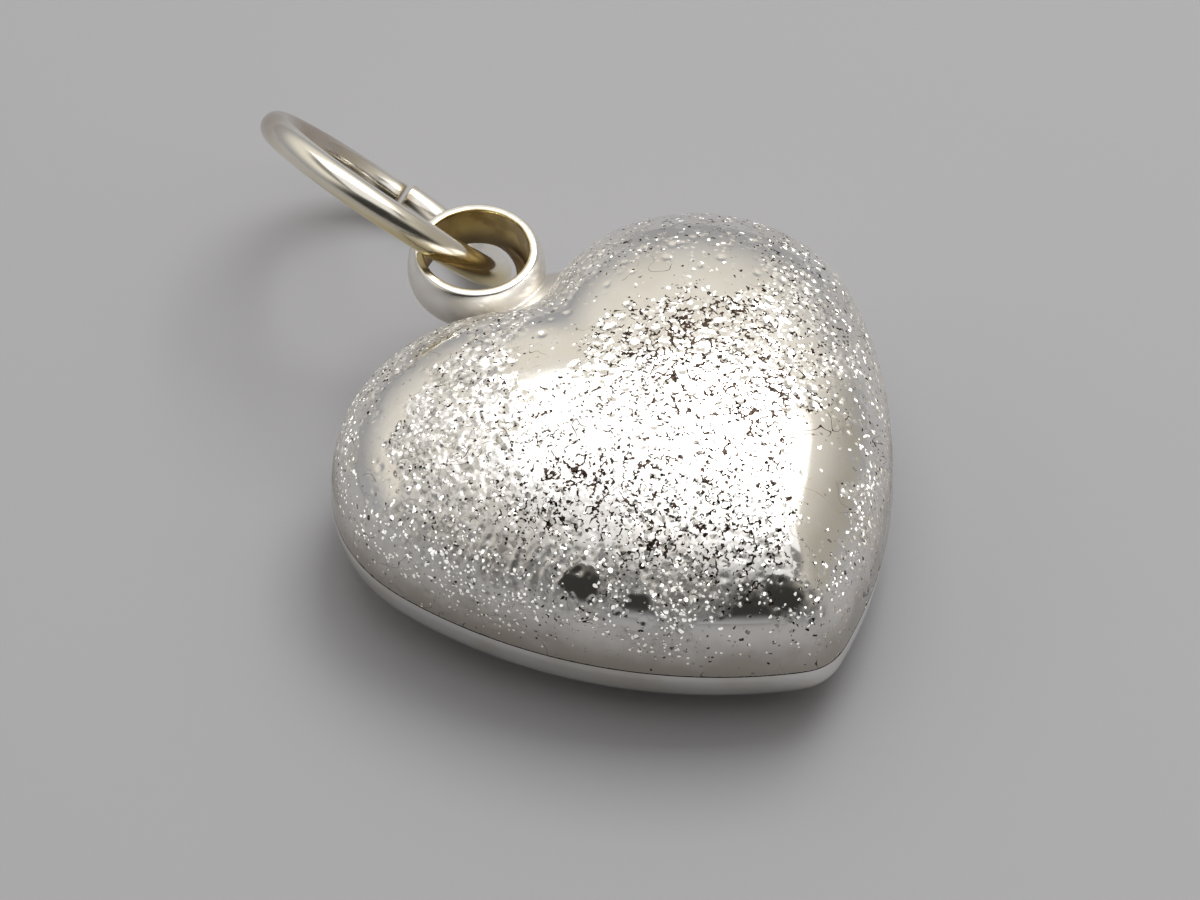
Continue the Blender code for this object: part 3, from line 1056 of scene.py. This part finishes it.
def ringSeat(look):
    # Where the ring hangs in the eyelet, as it lies in the photograph
    turn, lean = radians(look["turn"]), radians(look["lean"])
    out = Vector((-sin(turn), cos(turn), 0))
    uphill = Vector((-sin(lean) * cos(turn), -sin(lean) * sin(turn), cos(lean)))
    turned = Matrix((out, uphill, out.cross(uphill))).transposed().to_4x4()
    return Matrix.Translation(look["middle"]) @ turned


def silverRing(shape, look):
    # A painted gold reflection underneath, strongest by the eyelet, paler on top, a painted
    # reflection in brown far out, and brown at the cut
    finish = newFinish("ringSilver")
    where = finish.position()
    out = finish.along(where, "Y")
    down = look["farTop"] - finish.along(where, "Z")
    up = finish.along(finish.node("TexCoord", out="Normal"), "Z")
    soil = finish.cloud(where, look["soil"], 3.0)
    # painted gold reflection on the wire's underside, strongest by the eyelet
    paintedGoldReach = finish.fall(out + look["paintedGoldDrift"] * (soil - 0.5), *look["paintedGoldReach"])
    tint = paintedGoldReach * finish.fall(up, *look["under"])
    tone = finish.mixColor(tint, look["pale"], look["paintedGold"])
    # painted reflection: brown at the end away from the heart
    far = finish.step(out + (soil - 0.5) - look["farSlope"] * down, *look["farReach"])
    tone = finish.mixColor(far, tone, look["far"])
    turn = radians(shape["splitAngle"])
    cut = ringSeat(shape) @ Vector((shape["radius"] * cos(turn), shape["radius"] * sin(turn), 0))
    apart = finish.vector("DISTANCE", where, tuple(cut), "Value")
    cutTint = finish.fall(apart + look["cutDrift"] * (soil - 0.5), *look["cutReach"])
    tone = finish.mixColor(cutTint, tone, look["cut"])
    plain, scuffed = look["rough"]
    rough = plain + scuffed * finish.step(finish.cloud(where, look["grain"], 4.0), *look["scuffs"])
    finish.shader(Base_Color=tone, Metallic=1.0, Roughness=rough)
    return finish


ring = makeRing(ringLook)
dress(ring, silverRing(ringLook, ringSilver))
place(ring, "jump_ring", "ring_silver", "jump_ring")
print("ring made:", len(ring.data.polygons), "faces")

# Solder in the seam, which is hidden inside the heart
seamLook = {"color": (0.80, 0.78, 0.73), "rough": (0.28, 0.20), "grain": 3.0}


def seamSolder(look):
    finish = newFinish("seamSolder")
    plain, grained = look["rough"]
    rough = plain + grained * finish.cloud(finish.position(), look["grain"], 4.0)
    finish.shader(Base_Color=look["color"], Metallic=1.0, Roughness=rough)
    return finish


dress(frame["nodes"]["seam_bead"], seamSolder(seamLook))
